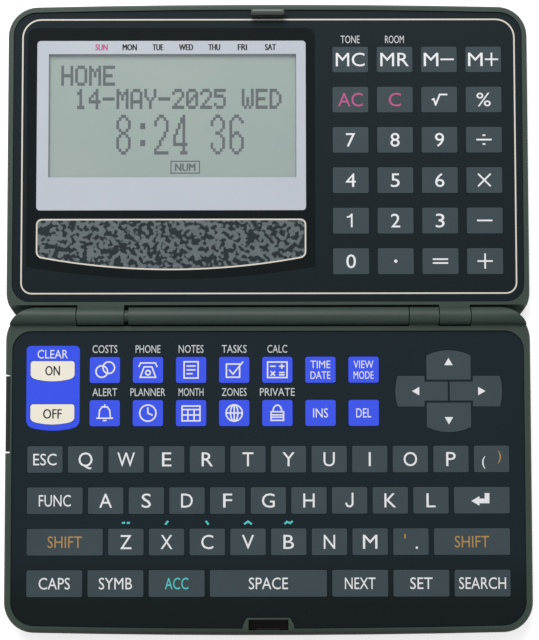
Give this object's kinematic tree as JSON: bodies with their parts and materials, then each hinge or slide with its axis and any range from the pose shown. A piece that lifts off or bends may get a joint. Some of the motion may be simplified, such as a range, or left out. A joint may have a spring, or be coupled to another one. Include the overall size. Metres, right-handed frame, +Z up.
{
  "type": "electronic organizer",
  "caption": "Pocket electronic organizer, open flat: keyboard half with letter, function and cursor keys, and display half with calculator keys, joined by a barrel hinge.",
  "frame": {"origin": "on the table under the middle of the hinge axis, with the organizer open flat", "axes": "+X along the hinge to the right, +Y from the keyboard half to the display half, +Z up"},
  "size_m": [0.135, 0.163, 0.0097],
  "materials": {
    "case_plastic": "fine moulded texture, dark grey-green",
    "plate_plastic": "plain black moulding",
    "base_film": "printed film, satin",
    "lid_film": "printed film, satin",
    "window": "clear window with a printed silver border",
    "badge": "printed marbled grey",
    "display_glass": "grey liquid crystal display",
    "grey_key": "printed grey film pad",
    "blue_key": "printed blue film pad",
    "cream_key": "printed cream film pad",
    "cover_rubber": "black soft moulding",
    "inner_plastic": "black moulding",
    "board": "green solder mask",
    "chip_plastic": "moulded black",
    "dome_steel": "stamped steel",
    "cell_steel": "bright nickel",
    "contact_brass": "stamped brass",
    "pin_steel": "ground steel",
    "screw_steel": "blackened steel",
    "ribbon": "amber flexible film"
  },
  "bodies": {
    "base": {"base_lower_case": "case_plastic", "keyboard_frame": "case_plastic", "key_plate": "plate_plastic", "keyboard_film": "base_film", "keyboard_domes": "dome_steel", "main_board": "board", "board_chips": "chip_plastic", "cell_holder": "inner_plastic", "main_cells": "cell_steel", "backup_cell": "cell_steel", "cell_contacts": "contact_brass", "buzzer_disc": "contact_brass", "data_socket": "inner_plastic", "base_screws": "screw_steel", "hinge_cover": "case_plastic", "hinge_pins": "pin_steel", "ribbon_cable": "ribbon"},
    "lid": {"lid_back_case": "case_plastic", "display_frame": "case_plastic", "calculator_plate": "plate_plastic", "lid_film": "lid_film", "display_window": "window", "badge_plate": "badge", "lcd_panel": "display_glass", "lcd_holder": "inner_plastic", "display_connector": "ribbon", "lid_board": "board", "calculator_domes": "dome_steel", "lid_screws": "screw_steel", "lid_ribbon": "ribbon"},
    "battery_cover": {"battery_cover": "case_plastic"},
    "port_cover": {"port_cover": "cover_rubber"},
    "reset_button": {"reset_button": "inner_plastic"},
    "letter_keys": {"letter_keys": "grey_key"},
    "command_keys": {"command_keys": "grey_key"},
    "key_space": {"key_space": "grey_key"},
    "key_enter": {"key_enter": "grey_key"},
    "key_shift_left": {"key_shift_left": "grey_key"},
    "key_shift_right": {"key_shift_right": "grey_key"},
    "key_on": {"key_on": "cream_key"},
    "key_off": {"key_off": "cream_key"},
    "key_expenses": {"key_expenses": "blue_key"},
    "key_telephone": {"key_telephone": "blue_key"},
    "key_memo": {"key_memo": "blue_key"},
    "key_tasks": {"key_tasks": "blue_key"},
    "key_calculator": {"key_calculator": "blue_key"},
    "key_time": {"key_time": "blue_key"},
    "key_insert": {"key_insert": "blue_key"},
    "key_reminder": {"key_reminder": "blue_key"},
    "key_schedule": {"key_schedule": "blue_key"},
    "key_calendar": {"key_calendar": "blue_key"},
    "key_world_time": {"key_world_time": "blue_key"},
    "key_secret": {"key_secret": "blue_key"},
    "key_view": {"key_view": "blue_key"},
    "key_delete": {"key_delete": "blue_key"},
    "key_cursor_up": {"key_cursor_up": "grey_key"},
    "key_cursor_down": {"key_cursor_down": "grey_key"},
    "key_cursor_left": {"key_cursor_left": "grey_key"},
    "key_cursor_right": {"key_cursor_right": "grey_key"},
    "calculator_keys": {"calculator_keys": "grey_key"}
  },
  "joints": [
    {"name": "lid_hinge", "type": "hinge", "parent": "base", "child": "lid", "pos_m": [0, 0, 0.0074], "axis": [1, 0, 0], "range_deg": [0, 180]},
    {"name": "battery_cover_slide", "type": "slide", "parent": "base", "child": "battery_cover", "axis": [1, 0, 0], "range_m": [0, 0.066]},
    {"name": "port_cover_swing", "type": "hinge", "parent": "base", "child": "port_cover", "pos_m": [-0.06697, -0.0251, 0.00075], "axis": [0, -1, 0], "range_deg": [0, 90]},
    {"name": "reset_button_press", "type": "slide", "parent": "base", "child": "reset_button", "axis": [0, 0, 1], "range_m": [0, 0.0004], "stiffness_N_per_m": 1500},
    {"name": "letter_keys_press", "type": "slide", "parent": "base", "child": "letter_keys", "axis": [0, 0, -1], "range_m": [0, 0.0003], "stiffness_N_per_m": 2000},
    {"name": "command_keys_press", "type": "slide", "parent": "base", "child": "command_keys", "axis": [0, 0, -1], "range_m": [0, 0.0003], "stiffness_N_per_m": 2000},
    {"name": "key_space_press", "type": "slide", "parent": "base", "child": "key_space", "axis": [0, 0, -1], "range_m": [0, 0.0003], "stiffness_N_per_m": 2000},
    {"name": "key_enter_press", "type": "slide", "parent": "base", "child": "key_enter", "axis": [0, 0, -1], "range_m": [0, 0.0003], "stiffness_N_per_m": 2000},
    {"name": "key_shift_left_press", "type": "slide", "parent": "base", "child": "key_shift_left", "axis": [0, 0, -1], "range_m": [0, 0.0003], "stiffness_N_per_m": 2000},
    {"name": "key_shift_right_press", "type": "slide", "parent": "base", "child": "key_shift_right", "axis": [0, 0, -1], "range_m": [0, 0.0003], "stiffness_N_per_m": 2000},
    {"name": "key_on_press", "type": "slide", "parent": "base", "child": "key_on", "axis": [0, 0, -1], "range_m": [0, 0.0003], "stiffness_N_per_m": 2000},
    {"name": "key_off_press", "type": "slide", "parent": "base", "child": "key_off", "axis": [0, 0, -1], "range_m": [0, 0.0003], "stiffness_N_per_m": 2000},
    {"name": "key_expenses_press", "type": "slide", "parent": "base", "child": "key_expenses", "axis": [0, 0, -1], "range_m": [0, 0.0003], "stiffness_N_per_m": 2000},
    {"name": "key_telephone_press", "type": "slide", "parent": "base", "child": "key_telephone", "axis": [0, 0, -1], "range_m": [0, 0.0003], "stiffness_N_per_m": 2000},
    {"name": "key_memo_press", "type": "slide", "parent": "base", "child": "key_memo", "axis": [0, 0, -1], "range_m": [0, 0.0003], "stiffness_N_per_m": 2000},
    {"name": "key_tasks_press", "type": "slide", "parent": "base", "child": "key_tasks", "axis": [0, 0, -1], "range_m": [0, 0.0003], "stiffness_N_per_m": 2000},
    {"name": "key_calculator_press", "type": "slide", "parent": "base", "child": "key_calculator", "axis": [0, 0, -1], "range_m": [0, 0.0003], "stiffness_N_per_m": 2000},
    {"name": "key_time_press", "type": "slide", "parent": "base", "child": "key_time", "axis": [0, 0, -1], "range_m": [0, 0.0003], "stiffness_N_per_m": 2000},
    {"name": "key_insert_press", "type": "slide", "parent": "base", "child": "key_insert", "axis": [0, 0, -1], "range_m": [0, 0.0003], "stiffness_N_per_m": 2000},
    {"name": "key_reminder_press", "type": "slide", "parent": "base", "child": "key_reminder", "axis": [0, 0, -1], "range_m": [0, 0.0003], "stiffness_N_per_m": 2000},
    {"name": "key_schedule_press", "type": "slide", "parent": "base", "child": "key_schedule", "axis": [0, 0, -1], "range_m": [0, 0.0003], "stiffness_N_per_m": 2000},
    {"name": "key_calendar_press", "type": "slide", "parent": "base", "child": "key_calendar", "axis": [0, 0, -1], "range_m": [0, 0.0003], "stiffness_N_per_m": 2000},
    {"name": "key_world_time_press", "type": "slide", "parent": "base", "child": "key_world_time", "axis": [0, 0, -1], "range_m": [0, 0.0003], "stiffness_N_per_m": 2000},
    {"name": "key_secret_press", "type": "slide", "parent": "base", "child": "key_secret", "axis": [0, 0, -1], "range_m": [0, 0.0003], "stiffness_N_per_m": 2000},
    {"name": "key_view_press", "type": "slide", "parent": "base", "child": "key_view", "axis": [0, 0, -1], "range_m": [0, 0.0003], "stiffness_N_per_m": 2000},
    {"name": "key_delete_press", "type": "slide", "parent": "base", "child": "key_delete", "axis": [0, 0, -1], "range_m": [0, 0.0003], "stiffness_N_per_m": 2000},
    {"name": "key_cursor_up_press", "type": "slide", "parent": "base", "child": "key_cursor_up", "axis": [0, 0, -1], "range_m": [0, 0.0003], "stiffness_N_per_m": 2000},
    {"name": "key_cursor_down_press", "type": "slide", "parent": "base", "child": "key_cursor_down", "axis": [0, 0, -1], "range_m": [0, 0.0003], "stiffness_N_per_m": 2000},
    {"name": "key_cursor_left_press", "type": "slide", "parent": "base", "child": "key_cursor_left", "axis": [0, 0, -1], "range_m": [0, 0.0003], "stiffness_N_per_m": 2000},
    {"name": "key_cursor_right_press", "type": "slide", "parent": "base", "child": "key_cursor_right", "axis": [0, 0, -1], "range_m": [0, 0.0003], "stiffness_N_per_m": 2000},
    {"name": "calculator_keys_press", "type": "slide", "parent": "lid", "child": "calculator_keys", "axis": [0, 0, -1], "range_m": [0, 0.0003], "stiffness_N_per_m": 2000}
  ]
}
